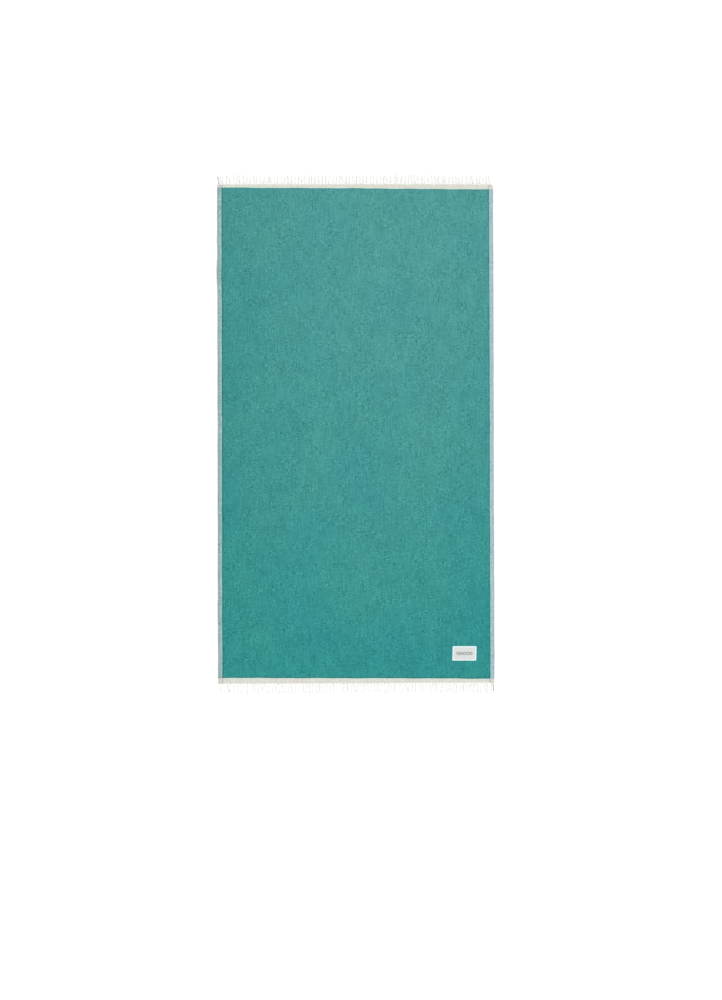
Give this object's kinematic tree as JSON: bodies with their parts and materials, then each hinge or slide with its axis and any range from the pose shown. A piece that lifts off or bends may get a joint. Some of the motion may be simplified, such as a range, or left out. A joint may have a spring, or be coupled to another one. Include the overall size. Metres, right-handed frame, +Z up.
{
  "type": "bath towel",
  "caption": "Flat rectangular bath towel with folded side hems, pale woven end bands, a knotted fringe at both ends and a sewn-on label with a plain ornament.",
  "frame": {"origin": "centre of the towel's underside, on the surface that it lies on", "axes": "+X across the towel, with the label on the +X side; +Y along its length, away from the label; +Z up from the coloured face"},
  "size_m": [1, 1.868, 0.0044],
  "materials": {
    "teal_cloth": "matt heathered weave",
    "aqua_cloth": "matt, the cloth's pale reverse side",
    "cream_band": "matt ribbed weave",
    "white_fringe": "soft twisted cotton",
    "sewing_thread": "twisted thread",
    "label_cloth": "smooth satin weave",
    "motif_thread": "embroidery thread"
  },
  "bodies": {
    "root": {"field": "teal_cloth", "side_hem_left": "aqua_cloth", "side_hem_right": "aqua_cloth", "end_band_top": "cream_band", "end_band_bottom": "cream_band", "hem_corner_top_left": "cream_band", "hem_corner_top_right": "cream_band", "hem_corner_bottom_left": "cream_band", "hem_corner_bottom_right": "cream_band", "hem_seam_left": "sewing_thread", "hem_seam_right": "sewing_thread", "thread_tail_top_left": "sewing_thread", "thread_tail_bottom_right": "sewing_thread", "label": "label_cloth", "label_stitching": "sewing_thread", "label_motif": "motif_thread", "tassels_top_01": "white_fringe", "tassels_top_02": "white_fringe", "tassels_top_03": "white_fringe", "tassels_top_04": "white_fringe", "tassels_top_05": "white_fringe", "tassels_top_06": "white_fringe", "tassels_top_07": "white_fringe", "tassels_top_08": "white_fringe", "tassels_top_09": "white_fringe", "tassels_top_10": "white_fringe", "tassels_top_11": "white_fringe", "tassels_top_12": "white_fringe", "tassels_top_13": "white_fringe", "tassels_top_14": "white_fringe", "tassels_top_15": "white_fringe", "tassels_top_16": "white_fringe", "tassels_top_17": "white_fringe", "tassels_top_18": "white_fringe", "tassels_top_19": "white_fringe", "tassels_top_20": "white_fringe", "tassels_bottom_01": "white_fringe", "tassels_bottom_02": "white_fringe", "tassels_bottom_03": "white_fringe", "tassels_bottom_04": "white_fringe", "tassels_bottom_05": "white_fringe", "tassels_bottom_06": "white_fringe", "tassels_bottom_07": "white_fringe", "tassels_bottom_08": "white_fringe", "tassels_bottom_09": "white_fringe", "tassels_bottom_10": "white_fringe", "tassels_bottom_11": "white_fringe", "tassels_bottom_12": "white_fringe", "tassels_bottom_13": "white_fringe", "tassels_bottom_14": "white_fringe", "tassels_bottom_15": "white_fringe", "tassels_bottom_16": "white_fringe", "tassels_bottom_17": "white_fringe", "tassels_bottom_18": "white_fringe", "tassels_bottom_19": "white_fringe", "tassels_bottom_20": "white_fringe"}
  },
  "joints": []
}
